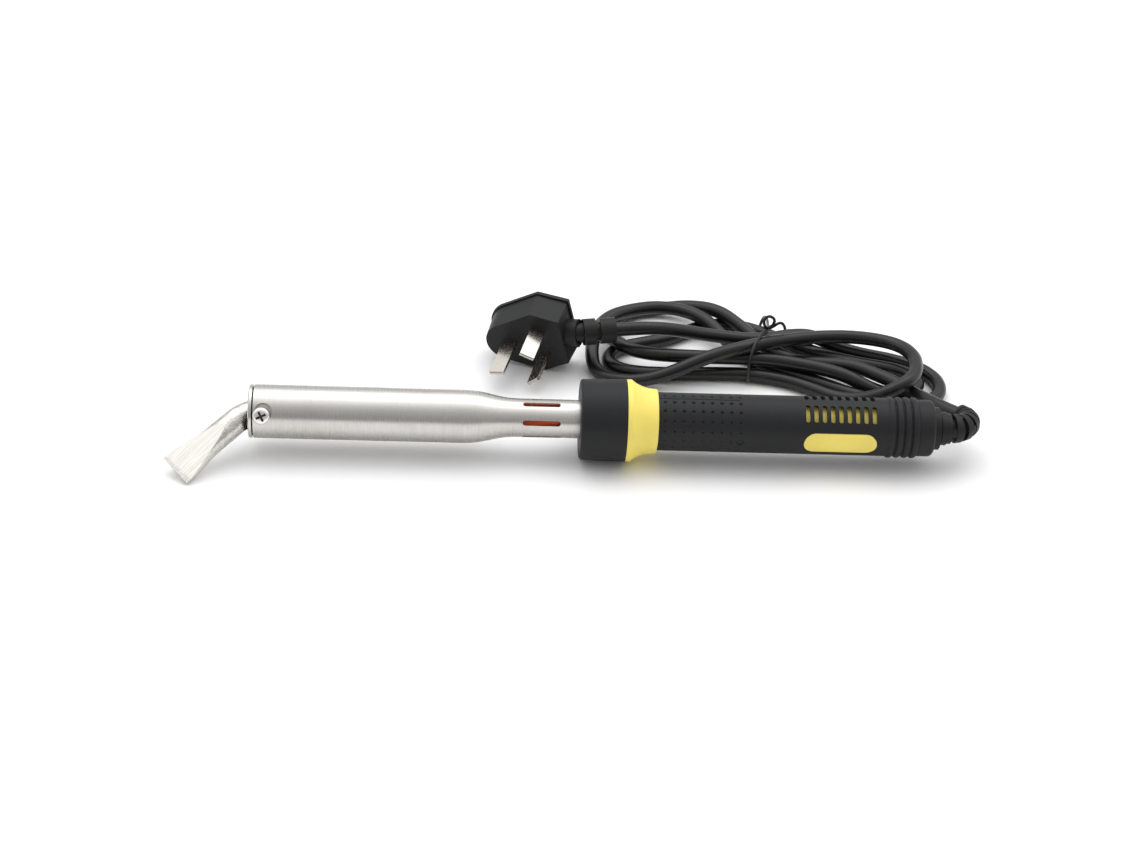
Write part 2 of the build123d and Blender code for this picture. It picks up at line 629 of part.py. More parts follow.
def clamp_screws():
    """Two pan-head screws of the cord's saddle."""
    screws = []
    top = CORD_R + 1.4
    for side in (-CLAMP_SCREW_Y, CLAMP_SCREW_Y):
        plane = Plane(origin=(CLAMP_FRONT + CLAMP_LENGTH / 2, side, 0))
        screw = stud(plane, CLAMP_SCREW_R, -CORE_BORE_R + 2.5, top)
        screw += stud(plane, CLAMP_SCREW_R * 1.6, top, top + 1.1)
        screws.append(screw - slab(plane, 4, 0.4, top + 0.6, top + 2))
    return Compound(screws)


# ---------------------------------------------------------------- cord, strain relief, plug
def relief_station(share):
    """The plane across the relief's bend at this share of its turn."""
    turn = radians(RELIEF_TURN * share)
    centre = Vector(RELIEF_BEND_X, RELIEF_BEND_R, 0)
    return Plane(origin=centre + Vector(sin(turn), -cos(turn), 0) * RELIEF_BEND_R, x_dir=(0, 0, 1),
                 z_dir=(cos(turn), sin(turn), 0))


def relief_end():
    """The plane at the relief's mouth, after the whole bend has been dipped."""
    mouth = relief_station(1.0)
    dipped = mouth.origin.rotate(Axis.X, -RELIEF_DIP)
    return Plane(origin=dipped, z_dir=mouth.z_dir.rotate(Axis.X, -RELIEF_DIP))


def bridge_sides(radius, step):
    """The two sides of the bridges over a slot, which lie across each other in turn."""
    sides = (2 * radius, RELIEF_BRIDGE)
    return sides if step % 2 else sides[::-1]


def strain_relief():
    """Moulded boot: a flange held in the tail, two rings, and a slotted sleeve that bends round."""
    flange = CORE_END
    neck = TAIL_END - TAIL_WALL
    ring_end = TAIL_END + 2.8
    boot = turned(
        (flange, 0), (neck, 0), (TAIL_END, 0), (RELIEF_BEND_X, 0), (RELIEF_BEND_X, RELIEF_R),
        (ring_end + 3.0, RELIEF_R), (ring_end + 2.8, RELIEF_RING_R), (ring_end + 0.4, RELIEF_RING_R),
        (ring_end + 0.2, RELIEF_R), (ring_end, RELIEF_R), (ring_end - 0.3, RELIEF_NECK_R),
        (neck, RELIEF_NECK_R), (neck, RELIEF_FLANGE_R), (flange, RELIEF_FLANGE_R),
    )
    centre = Axis(origin=(RELIEF_BEND_X, RELIEF_BEND_R, 0), direction=(0, 0, 1))
    swing = RELIEF_TURN / RELIEF_SLOTS
    for step in range(RELIEF_SLOTS):
        radius = RELIEF_R + (RELIEF_END_R - RELIEF_R) * (step + 1) / RELIEF_SLOTS
        slot_end = (step + RELIEF_SLOT_SHARE) / RELIEF_SLOTS
        bridges = Circle(CORD_R + 1.0) + Rectangle(*bridge_sides(radius, step)) & Circle(radius - 0.25)
        boot += revolve(relief_station(step / RELIEF_SLOTS) * bridges, centre, swing * RELIEF_SLOT_SHARE)
        boot += revolve(relief_station(slot_end) * Circle(radius), centre, swing * (1 - RELIEF_SLOT_SHARE))
    bore = revolve(relief_station(0) * Circle(CORD_R), centre, RELIEF_TURN)
    boot -= ring(flange - 1, RELIEF_BEND_X, CORD_R) + bore
    return boot.rotate(Axis.X, -RELIEF_DIP)


def cord_in_handle():
    """The jacketed cord from the cores' fan, through the clamp and the strain relief."""
    centre = Axis(origin=(RELIEF_BEND_X, RELIEF_BEND_R, 0), direction=(0, 0, 1))
    bend = revolve(relief_station(0) * Circle(CORD_R), centre, RELIEF_TURN)
    return (ring(JACKET_FRONT, RELIEF_BEND_X, CORD_R) + bend).rotate(Axis.X, -RELIEF_DIP)


# heights of the cord's points are above the floor
CORD_LEAD = [(148.3, 33.3, 13.4), (142.4, 43.0, 10.8)]
PLUG_LEAD = [(40.5, 71.3, 18.6), (49.9, 74.9, 15.2)]
PLUG_RELIEF_END = (17.3, 66.9, 20.4)


def on_floor(point):
    """A point whose height is given above the floor, in the iron's own frame."""
    return (point[0], point[1], point[2] - AXIS_HEIGHT)


HANK_OUTLINE = [
    (10, 60), (9.5, 92), (18, 107), (30, 119), (44, 121), (58, 114), (72, 104), (90, 104), (104, 91),
    (132, 80), (158, 69), (166, 56), (163, 41), (152, 31), (130, 28), (112, 42), (90, 54), (72, 54),
    (40, 50), (18, 50),
]


def cord_hank():
    """The outer shape of the loose hank, waisted where the tie holds it."""
    floor = Plane(origin=(0, 0, -AXIS_HEIGHT))
    hank = extrude(floor * make_face(Polyline(*HANK_OUTLINE, close=True)), HANK_HEIGHT)
    low, high = tie_span()
    groove = slab(tie_plane(), TIE_THICK + 0.3, (high - low) + 4, -1, HANK_HEIGHT + 1)
    keep = slab(tie_plane(), TIE_THICK + 1, (high - low) - 2 * TIE_THICK - 0.2, TIE_THICK + 0.1,
                HANK_HEIGHT - TIE_THICK - 0.1)
    return hank - (groove - keep)


def tie_span():
    """The near and far sides of the hank's waist."""
    return HANK_OUTLINE[-3][1], HANK_OUTLINE[6][1]


def tie_plane():
    """The floor plane at the middle of the tie."""
    low, high = tie_span()
    return Plane(origin=(TIE_X, (low + high) / 2, -AXIS_HEIGHT))


def twist_tie():
    """Wire tie round the waist of the hank, with two small loops at its knot."""
    low, high = tie_span()
    band = slab(tie_plane(), TIE_THICK, high - low, 0, HANK_HEIGHT)
    band -= slab(tie_plane(), TIE_THICK + 1, (high - low) - 2 * TIE_THICK, TIE_THICK, HANK_HEIGHT - TIE_THICK)
    loop_r = 3.2
    loop_z = HANK_HEIGHT - AXIS_HEIGHT + loop_r + TIE_THICK / 2 - 0.05
    for lean in (-20, 25):
        loop_y = (low + high) / 2 + lean / 6
        facing = (sin(radians(lean)), cos(radians(lean)), 0)
        band += Plane(origin=(TIE_X, loop_y, loop_z), z_dir=facing) * Torus(loop_r, TIE_THICK / 2)
    return band


def plug_plane():
    """The plane of the plug's pin face: x towards the cord, z out along the pins."""
    return Plane(origin=PLUG_CENTRE, x_dir=PLUG_CORDWARD, z_dir=PLUG_PINWARD)


def plug_outline(grow):
    """The plug's outline, rounded at the earth end, moved outwards by this much."""
    tail_u, tail_v = 14.4 + grow, 11.5 + grow
    wide_u, wide_v = 2.1, 15.7 + grow
    nose_u, nose_v = -15.5, 8.9 + grow
    nose = -21.4 - grow
    return make_face([
        Line((tail_u, -tail_v), (tail_u, tail_v)),
        Line((tail_u, tail_v), (wide_u, wide_v)),
        Line((wide_u, wide_v), (nose_u, nose_v)),
        ThreePointArc((nose_u, nose_v), (nose, 0), (nose_u, -nose_v)),
        Line((nose_u, -nose_v), (wide_u, -wide_v)),
        Line((wide_u, -wide_v), (tail_u, -tail_v)),
    ])


def plug_relief_root():
    """The point inside the plug that its strain relief grows from."""
    face = plug_plane()
    return face.origin + face.x_dir * 13.0 - face.z_dir * (PLUG_DEPTH + PLUG_RIM) / 2


def plug_relief_leg():
    """The planes at both ends of the relief's outer leg, which runs straight to the cord."""
    face = plug_plane()
    elbow = plug_relief_root() + face.x_dir * 6.0
    end = Vector(*on_floor(PLUG_RELIEF_END))
    along = (end - elbow).normalized()
    return [Plane(origin=spot, x_dir=face.z_dir.cross(along), z_dir=along) for spot in (elbow, end)]


def plug_body():
    """Moulded plug: a flat-sided body with a rim at its back, and a segmented strain relief."""
    face = plug_plane()
    back = Plane(origin=face.origin - face.z_dir * PLUG_DEPTH, x_dir=face.x_dir, z_dir=face.z_dir)
    rear = back.offset(-PLUG_RIM)
    body = loft([face * plug_outline(-0.2), back * plug_outline(0.5)])
    body += extrude(rear * plug_outline(1.2), PLUG_RIM)
    neck = Plane(origin=plug_relief_root(), x_dir=face.z_dir, z_dir=face.x_dir)
    body += stud(neck, PLUG_RELIEF_R, 0, 6.5)
    leg, end = plug_relief_leg()
    reach = (end.origin - leg.origin).length
    body += stud(leg, CORD_R + 1.0, -2.5, reach)
    for low, high in ((0.13, 0.46), (0.58, 1.0)):
        body += stud(leg, PLUG_RELIEF_R - 0.3 * high, reach * low, reach * high)
    for pin in PLUG_PINS:
        body -= plug_pin(*pin, 0.0)
    return body


def plug_pin(u, v, turn, length, tip_chamfer=0.5):
    """A flat pin, let 3 mm into the plug's body."""
    plane = plug_plane()
    spot = plane.origin + plane.x_dir * u + plane.y_dir * v
    foot = Plane(origin=spot, x_dir=plane.x_dir, z_dir=plane.z_dir)
    pin = slab(spun(foot, turn), PLUG_PIN_WIDTH, PLUG_PIN_THICK, -3, length)
    if tip_chamfer:
        pin = chamfer(pin.faces().sort_by(Axis(origin=spot, direction=plane.z_dir))[-1].edges(), tip_chamfer)
    return pin


PLUG_PINS = [
    (PLUG_EARTH_U, 0, 0, PLUG_EARTH_LENGTH),
    (PLUG_LINE_U, PLUG_LINE_V, -PLUG_LINE_TURN, PLUG_LINE_LENGTH),
    (PLUG_LINE_U, -PLUG_LINE_V, PLUG_LINE_TURN, PLUG_LINE_LENGTH),
]


def cord_lead():
    """The cord from the strain relief into the hank."""
    start = relief_end()
    points = [start.origin, start.origin + start.z_dir * 10] + [Vector(*on_floor(p)) for p in CORD_LEAD]
    return round_tube(route("cord_lead", points), CORD_R)


def cord_plug_lead():
    """The cord from the hank up to the plug."""
    end = plug_relief_leg()[1]
    points = [end.origin, end.origin + end.z_dir * 10] + [Vector(*on_floor(p)) for p in PLUG_LEAD]
    return round_tube(route("cord_plug_lead", points), CORD_R)


# ---------------------------------------------------------------- all parts
NODES = {
    "tip": tip(),
    "tip_screw": tip_screw(),
    "barrel_end_ring": barrel_end_ring(),
    "barrel_tube": barrel_tube(),
    "tip_bush": tip_bush(),
    "heater_tube": heater_tube(),
    "mica_inner": ring(BUSH_REAR + INSULATOR_THICK, HEATER_REAR - INSULATOR_THICK, HEATER_R + MICA, HEATER_R),
    "heater_winding": heater_winding(),
    "mica_outer": ring(BUSH_REAR + INSULATOR_THICK, HEATER_REAR - INSULATOR_THICK,
                       HEATER_R + 2 * MICA + WINDING_WIRE + 0.04, HEATER_R + MICA + WINDING_WIRE + 0.04),
    "front_insulator": ring(BUSH_REAR, BUSH_REAR + INSULATOR_THICK, BARREL_BORE_R, HEATER_R),
    "rear_insulator": rear_insulator(),
    "lead_live": lead("lead_live"),
    "lead_neutral": lead("lead_neutral"),
    "lead_earth": lead("lead_earth"),
    "barrel_flange": barrel_flange(),
    "flange_screws": flange_screws(),
    "front_collar": front_collar(),
    "handle_core": handle_core(),
    "grip_sleeve": grip_sleeve(),
    "terminal_block": terminal_block(),
    "terminal_inserts": terminal_inserts(),
    "terminal_screws": terminal_screws(),
    "core_live": core_wire("core_live"),
    "core_neutral": core_wire("core_neutral"),
    "core_earth": core_wire("core_earth"),
    "cord_clamp": cord_clamp(),
    "clamp_screws": clamp_screws(),
    "strain_relief": strain_relief(),
    "cord_in_handle": cord_in_handle(),
    "cord_lead": cord_lead(),
    "cord_hank": cord_hank() - cord_lead() - cord_plug_lead(),
    "twist_tie": twist_tie(),
    "cord_plug_lead": cord_plug_lead(),
    "plug_body": plug_body(),
    "pin_earth": plug_pin(*PLUG_PINS[0]),
    "pin_live": plug_pin(*PLUG_PINS[1]),
    "pin_neutral": plug_pin(*PLUG_PINS[2]),
}

# the origin is on the floor under the middle of the iron's own box, which leaves out the cord
iron = Compound([NODES[name] for name in ("tip", "tip_screw", "front_collar", "grip_sleeve")])
iron_box = iron.bounding_box()
ORIGIN = Vector((iron_box.min.X + iron_box.max.X) / 2, (iron_box.min.Y + iron_box.max.Y) / 2, -AXIS_HEIGHT)
print("origin in the iron's frame", ORIGIN)

for node, shape in NODES.items():
    placed = shape.moved(Location(-ORIGIN))
    placed.label = node
    export_step(placed, f"parts/{node}.step")
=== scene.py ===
"""The looks of a bent-tip soldering iron, with its plug and hanked cord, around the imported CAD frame."""

import json
from math import cos, pi, radians, sin

import bpy
from mathutils import Matrix, Vector


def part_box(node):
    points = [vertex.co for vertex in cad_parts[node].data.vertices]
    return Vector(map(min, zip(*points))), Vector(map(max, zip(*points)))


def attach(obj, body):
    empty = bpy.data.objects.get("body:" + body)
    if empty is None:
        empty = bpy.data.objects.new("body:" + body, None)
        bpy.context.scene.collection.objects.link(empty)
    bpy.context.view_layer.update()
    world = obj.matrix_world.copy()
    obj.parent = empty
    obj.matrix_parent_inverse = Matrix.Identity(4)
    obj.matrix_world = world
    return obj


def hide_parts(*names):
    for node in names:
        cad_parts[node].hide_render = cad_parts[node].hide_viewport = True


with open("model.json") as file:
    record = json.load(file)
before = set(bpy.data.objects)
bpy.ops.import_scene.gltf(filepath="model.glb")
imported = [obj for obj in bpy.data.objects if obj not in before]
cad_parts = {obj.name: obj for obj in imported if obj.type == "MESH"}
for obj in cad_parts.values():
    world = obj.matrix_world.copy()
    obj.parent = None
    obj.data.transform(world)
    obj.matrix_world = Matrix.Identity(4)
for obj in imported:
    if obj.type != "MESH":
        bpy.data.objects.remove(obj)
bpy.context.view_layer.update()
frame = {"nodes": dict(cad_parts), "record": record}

MM = 0.001
nodes = frame["nodes"]

# ---------------------------------------------------------------- places, from the frame
# stations run along the iron's axis from the collar's front face, as in the part's source
collar_low, collar_high = (Vector(c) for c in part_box("front_collar"))
COLLAR_FRONT = collar_low.x
AXIS_Y = (collar_low.y + collar_high.y) / 2
AXIS_Z = (collar_low.z + collar_high.z) / 2


def at(station, side, height):
    """The point at this station, distance behind the iron's axis and height above the floor, all in mm."""
    return Vector((COLLAR_FRONT + station * MM, AXIS_Y + side * MM, height * MM))


# the tip's leg leans this far below the shank's line and is rolled this far towards the camera
TIP_BEND = radians(46.0)
TIP_ROLL = radians(61.2)
# each of the chisel's two flats leans this far from the leg's own line
FLAT_SLOPE = radians(10.16)
TIP_CORNER_STATION = -135.2
TIP_LEG = 39.5 * MM
TIP_SIDE = Vector((0.0, cos(TIP_ROLL), -sin(TIP_ROLL)))
TIP_ALONG = Vector((-cos(TIP_BEND), -sin(TIP_BEND) * sin(TIP_ROLL), -sin(TIP_BEND) * cos(TIP_ROLL)))
TIP_ACROSS = TIP_ALONG.cross(TIP_SIDE)
TIP_END = (at(TIP_CORNER_STATION, 0, AXIS_Z / MM) + TIP_ALONG * TIP_LEG).dot(TIP_ALONG)
# the clamping screw points out of the barrel, up towards the camera, and its head's top is this far out
SCREW_STATION = -129.2
SCREW_ANGLE = radians(22.8)
SCREW_AXIS = Vector((0.0, -cos(SCREW_ANGLE), sin(SCREW_ANGLE)))
SCREW_TOP = 13.2 * MM


# ---------------------------------------------------------------- camera, lights and floor
VIEW_ELEVATION = radians(33.0)
VIEW_YAW = radians(3.46)
VIEW_ROLL = radians(3.35)
VIEW_DISTANCE = 0.981
VIEW_SHIFT_RIGHT = 0.0039
VIEW_SHIFT_UP = 0.0034
LENS = 75.47
SENSOR_WIDTH = 36.0
# the room's brightness against the angle up from the front horizon, over the top to the back
ROOM = ((0, 0.20), (50, 0.44), (70, 0.68), (80, 1.0), (136, 1.0), (146, 0.55), (180, 0.42))
ROOM_LIGHT = 1.45
ROOM_BLUE = 1.01
SOFTBOX_PLACE = (0.0, 0.45, 1.1)
SOFTBOX_AIM = (0.0, 0.02, 0.0)
SOFTBOX_SIZE = (1.6, 0.8)
SOFTBOX_POWER = 5.0
FLOOR_HALF = 3.0
FLOOR_DROP = 0.2 * MM
FLOOR_TONE = 0.93
FLOOR_ROUGHNESS = 0.9


def add_camera():
    """The camera at the photograph's angle: a little from the right, above, and slightly rolled."""
    away = Vector((
        -sin(VIEW_YAW) * cos(VIEW_ELEVATION),
        -cos(VIEW_YAW) * cos(VIEW_ELEVATION),
        sin(VIEW_ELEVATION),
    ))
    level = Vector((cos(VIEW_YAW), -sin(VIEW_YAW), 0.0))
    upright = away.cross(level)
    right = cos(VIEW_ROLL) * level + sin(VIEW_ROLL) * upright
    up = -sin(VIEW_ROLL) * level + cos(VIEW_ROLL) * upright
    aim = at(0, 0, 0) + Vector((0, 0, AXIS_Z)) - VIEW_SHIFT_RIGHT * right - VIEW_SHIFT_UP * up
    data = bpy.data.cameras.new("camera")
    data.lens = LENS
    data.sensor_width = SENSOR_WIDTH
    camera = bpy.data.objects.new("camera", data)
    turn = Matrix((right, up, away)).transposed()
    camera.matrix_world = Matrix.Translation(aim + away * VIEW_DISTANCE) @ turn.to_4x4()
    bpy.context.collection.objects.link(camera)
    bpy.context.scene.camera = camera


def add_softbox():
    """A rectangular studio light above and behind."""
    data = bpy.data.lights.new("softbox_top", "AREA")
    data.shape = "RECTANGLE"
    data.size, data.size_y = SOFTBOX_SIZE
    data.energy = SOFTBOX_POWER
    light = bpy.data.objects.new("softbox_top", data)
    light.location = SOFTBOX_PLACE
    light.rotation_euler = (Vector(SOFTBOX_AIM) - Vector(SOFTBOX_PLACE)).to_track_quat("-Z", "Y").to_euler()
    bpy.context.collection.objects.link(light)


def add_room():
    """A grey room, bright overhead and darker in front, which gives the metal its light and dark bands."""
    world = bpy.data.worlds.new("room")
    bpy.context.scene.world = world
    world.use_nodes = True
    room = world.node_tree
    background = room.nodes["Background"]
    split = room.nodes.new("ShaderNodeSeparateXYZ")
    room.links.new(room.nodes.new("ShaderNodeTexCoord").outputs["Generated"], split.inputs["Vector"])
    forward = room.nodes.new("ShaderNodeMath")
    forward.operation = "MULTIPLY"
    forward.inputs[1].default_value = -1.0
    room.links.new(split.outputs["Y"], forward.inputs[0])
    tilt = room.nodes.new("ShaderNodeMath")
    tilt.operation = "ARCTAN2"
    room.links.new(split.outputs["Z"], tilt.inputs[0])
    room.links.new(forward.outputs[0], tilt.inputs[1])
    share = room.nodes.new("ShaderNodeMapRange")
    share.inputs["From Max"].default_value = pi
    room.links.new(tilt.outputs[0], share.inputs["Value"])
    ramp = room.nodes.new("ShaderNodeValToRGB")
    room.links.new(share.outputs["Result"], ramp.inputs["Fac"])
    room.links.new(ramp.outputs["Color"], background.inputs["Color"])
    while len(ramp.color_ramp.elements) < len(ROOM):
        ramp.color_ramp.elements.new(0.5)
    for stop, (tilt_degrees, level) in zip(ramp.color_ramp.elements, ROOM):
        stop.position = tilt_degrees / 180
        stop.color = (level, level, level * ROOM_BLUE, 1.0)
    background.inputs["Strength"].default_value = ROOM_LIGHT


def add_floor():
    """A pale sweep under the object."""
    mesh = bpy.data.meshes.new("floor")
    half = FLOOR_HALF
    corners = [(-half, -half, 0), (half, -half, 0), (half, half, 0), (-half, half, 0)]
    mesh.from_pydata(corners, [], [(0, 1, 2, 3)])
    floor = bpy.data.objects.new("floor", mesh)
    floor.location.z = -FLOOR_DROP
    bpy.context.collection.objects.link(floor)
    paint = bpy.data.materials.new("sweep")
    paint.use_nodes = True
    shader = paint.node_tree.nodes["Principled BSDF"]
    shader.inputs["Base Color"].default_value = (FLOOR_TONE, FLOOR_TONE, FLOOR_TONE, 1.0)
    shader.inputs["Roughness"].default_value = FLOOR_ROUGHNESS
    mesh.materials.append(paint)


bpy.context.scene.view_settings.view_transform = "Standard"
add_camera()
add_room()
add_softbox()
add_floor()


# ---------------------------------------------------------------- materials
# most of a noise texture lies between these two
NOISE_LOW = 0.3
NOISE_HIGH = 0.7
# the screw's cross recess: how far out it reaches, and how deep its floor is
RECESS_RADIUS = 2.4 * MM
RECESS_DEPTH = 0.9 * MM
RECESS_BLUR = 0.2 * MM
# the end ring is painted near black inside this radius, as painted shade of its bore and of the groove
# behind it
BORE_SHADE_RADIUS = 9.8 * MM
BORE_SHADE_BLUR = 0.3 * MM
# the tinning is worn through along this much of the chisel's end
WORN_LENGTH = 2.2 * MM
WORN_BLUR = 1.0 * MM
WORN_RAGGED = 0.4 * MM


class Paint:
    """A material under construction: its shader, and short ways to add nodes to it."""

    def __init__(self, name, metallic=0.0, roughness=0.5, **sockets):
        self.material = bpy.data.materials.new(name)
        self.material.use_nodes = True
        self.tree = self.material.node_tree
        self.shader = self.tree.nodes["Principled BSDF"]
        self.place = self.tree.nodes.new("ShaderNodeTexCoord").outputs["Object"]
        self.shader.inputs["Metallic"].default_value = metallic
        self.shader.inputs["Roughness"].default_value = roughness
        for socket, value in sockets.items():
            self.shader.inputs[socket.replace("_", " ")].default_value = value

    def node(self, kind, **inputs):
        """A node of this kind, with its inputs linked or set by name."""
        made = self.tree.nodes.new(kind)
        for name, value in inputs.items():
            self.feed(made.inputs[name.replace("_", " ")], value)
        return made

    def feed(self, socket, value):
        """Links an output to a socket, or sets the socket's own value."""
        if isinstance(value, bpy.types.NodeSocket):
            self.tree.links.new(value, socket)
        else:
            socket.default_value = value

    def grainy(self, scale, detail=3.0):
        """Smooth noise with this many features a metre every way."""
        return self.noise((scale, scale, scale), detail)

    def stretched(self, x, y, z):
        """The object's own coordinates in metres, scaled by these per-metre factors."""
        mapping = self.node("ShaderNodeMapping", Vector=self.place)
        mapping.inputs["Scale"].default_value = (x, y, z)
        return mapping.outputs["Vector"]

    def noise(self, scales, detail=3.0, roughness=0.55):
        """Smooth noise with this many features a metre along X, Y and Z."""
        made = self.node(
            "ShaderNodeTexNoise",
            Vector=self.stretched(*scales), Scale=1.0, Detail=detail, Roughness=roughness)
        return made.outputs["Fac"]

    def cells(self, scales):
        """The distance to scattered points, this many a metre along X, Y and Z."""
        made = self.node("ShaderNodeTexVoronoi", Vector=self.stretched(*scales), Scale=1.0)
        return made.outputs["Distance"]

    def spread(self, value, low, high, to_low=0.0, to_high=1.0):
        """The value's range from low to high, mapped to another range and clamped."""
        made = self.node("ShaderNodeMapRange", Value=value)
        for name, number in (("From Min", low), ("From Max", high), ("To Min", to_low), ("To Max", to_high)):
            made.inputs[name].default_value = number
        return made.outputs["Result"]

    def varied(self, noise, to_low=0.0, to_high=1.0):
        """A noise's usual range, mapped to another range."""
        return self.spread(noise, NOISE_LOW, NOISE_HIGH, to_low, to_high)

    def mixed(self, share, first, second):
        """A blend of two colours, each a triple or an output."""
        made = self.tree.nodes.new("ShaderNodeMix")
        made.data_type = "RGBA"
        self.feed(made.inputs[0], share)
        for socket, colour in ((made.inputs[6], first), (made.inputs[7], second)):
            self.feed(socket, (*colour, 1.0) if isinstance(colour, tuple) else colour)
        return made.outputs[2]

    def along(self, vector, direction):
        """How far a vector reaches in a direction."""
        made = self.tree.nodes.new("ShaderNodeVectorMath")
        made.operation = "DOT_PRODUCT"
        self.feed(made.inputs[0], vector)
        made.inputs[1].default_value = direction
        return made.outputs["Value"]

    def length(self, vector):
        """The length of a vector."""
        made = self.node("ShaderNodeVectorMath", Vector=vector)
        made.operation = "LENGTH"
        return made.outputs["Value"]

    def maths(self, operation, first, second=0.0):
        """One arithmetic step."""
        made = self.tree.nodes.new("ShaderNodeMath")
        made.operation = operation
        self.feed(made.inputs[0], first)
        self.feed(made.inputs[1], second)
        return made.outputs[0]

    def bump(self, height, depth, before=None):
        """Relief of this depth in metres, over an earlier relief if there is one."""
        made = self.node("ShaderNodeBump", Height=height, Strength=1.0, Distance=depth)
        if before is not None:
            self.tree.links.new(before, made.inputs["Normal"])
        return made.outputs["Normal"]

    def colour(self, value):
        """Sets the base colour."""
        self.feed(self.shader.inputs["Base Color"], value)

    def gloss(self, value):
        """Sets the roughness."""
        self.feed(self.shader.inputs["Roughness"], value)

    def relief(self, value):
        """Sets the normal."""
        self.feed(self.shader.inputs["Normal"], value)


def stainless():
    """Drawn tube: fine scratches round the axis, in patches, with a few pits and a warm tone."""
    p = Paint("stainless", metallic=1.0)
    tone = (0.60, 0.585, 0.56)
    p.shader.inputs["Anisotropic"].default_value = 0.35
    around = p.noise((5200, 45, 45), roughness=0.6)
    patches = p.noise((55, 90, 90), detail=2.0)
    marks = p.maths("MULTIPLY", p.spread(around, 0.45, 0.75), p.spread(patches, 0.42, 0.62))
    pits = p.spread(p.cells((240, 420, 420)), 0.03, 0.07, 1.0, 0.0)
    rare = p.maths("MULTIPLY", pits, p.spread(p.noise((60, 70, 70)), 0.6, 0.66))
    dark = tuple(c * 0.62 for c in tone)
    warmer = tuple(c * f for c, f in zip(tone, (0.96, 0.95, 0.92)))
    tinted = p.mixed(p.spread(p.noise((14, 20, 20)), 0.35, 0.7), tone, warmer)
    p.colour(p.mixed(p.maths("MAXIMUM", p.maths("MULTIPLY", marks, 0.55), rare), tinted, dark))
    p.gloss(p.maths("ADD", p.spread(around, 0.3, 0.75, 0.25, 0.34), p.maths("MULTIPLY", marks, 0.12)))
    p.relief(p.bump(marks, 0.003 * MM, p.bump(around, 0.0015 * MM)))
    return p.material


def pin_plating():
    """The plug's pins: plated metal over a tumbled surface, with soft lumps and small pits."""
    p = Paint("plug_brass", metallic=1.0)
    tone = (0.52, 0.485, 0.44)
    lumps, pitting = 160, 900
    gloss = 0.24
    depth = 0.03 * MM
    soft = p.grainy(lumps)
    grain = p.grainy(lumps * 6, detail=2.0)
    pits = p.spread(p.cells((pitting, pitting, pitting)), 0.05, 0.16, 1.0, 0.0)
    kept = p.maths("MULTIPLY", pits, p.spread(p.grainy(pitting / 3), 0.52, 0.6))
    p.colour(p.mixed(p.maths("MULTIPLY", kept, 0.7), tone, tuple(c * 0.45 for c in tone)))
    p.gloss(p.varied(grain, gloss * 0.8, gloss * 1.25))
    p.relief(p.bump(soft, depth, p.bump(grain, depth / 20, p.bump(kept, depth / 4))))
    return p.material


def tip_material():
    """Nickel plating all over, but tinned and filed lengthwise on the chisel's two flats."""
    p = Paint("tip_plating", metallic=1.0)
    tone = (0.66, 0.64, 0.60)
    normal = p.tree.nodes["Texture Coordinate"].outputs["Normal"]
    # on a flat, the normal's parts along and off the leg add up to 1
    leaning = p.maths("MULTIPLY", p.along(normal, TIP_ALONG), sin(FLAT_SLOPE))
    facing = p.maths("MULTIPLY", p.maths("ABSOLUTE", p.along(normal, TIP_SIDE)), cos(FLAT_SLOPE))
    flat = p.spread(p.maths("ADD", leaning, facing), 0.991, 0.996)
    lumps = p.grainy(330)
    grain = p.grainy(1700)
    pits = p.spread(p.cells((900, 900, 900)), 0.06, 0.2, 1.0, 0.0)
    kept = p.maths("MULTIPLY", pits, p.spread(p.grainy(160), 0.5, 0.62))
    lengthwise = p.node(
        "ShaderNodeCombineXYZ",
        X=p.maths("MULTIPLY", p.along(p.place, TIP_ALONG), 60.0),
        Y=p.maths("MULTIPLY", p.along(p.place, TIP_ACROSS), 1900.0),
        Z=0.0,
    ).outputs["Vector"]
    lines = p.node("ShaderNodeTexNoise", Vector=lengthwise, Scale=1.0, Detail=3.0, Roughness=0.6)
    lines = lines.outputs["Fac"]
    plated = p.mixed(p.maths("MULTIPLY", kept, 0.8), tone, (0.28, 0.26, 0.23))
    tinned = p.mixed(p.spread(lines, 0.35, 0.7), (0.86, 0.85, 0.80), (0.66, 0.65, 0.60))
    ragged = p.varied(p.grainy(700), -WORN_RAGGED, WORN_RAGGED)
    reach = p.maths("ADD", p.along(p.place, TIP_ALONG), ragged)
    worn_from = TIP_END - WORN_LENGTH
    worn = p.spread(reach, worn_from, worn_from + WORN_BLUR, 0.0, 0.65)
    tinned = p.mixed(p.maths("MULTIPLY", worn, p.spread(grain, 0.35, 0.6)), tinned, (0.42, 0.41, 0.38))
    p.colour(p.mixed(flat, plated, tinned))
    rough = p.maths("MULTIPLY", flat, 0.24)
    p.gloss(p.maths("ADD", p.varied(grain, 0.22, 0.36), rough))
    height = p.maths("MULTIPLY", lumps, p.spread(flat, 0.0, 1.0, 1.0, 0.15))
    scratch = p.maths("MULTIPLY", lines, flat)
    p.relief(p.bump(height, 0.4 * MM, p.bump(scratch, 0.06 * MM, p.bump(kept, 0.05 * MM))))
    return p.material


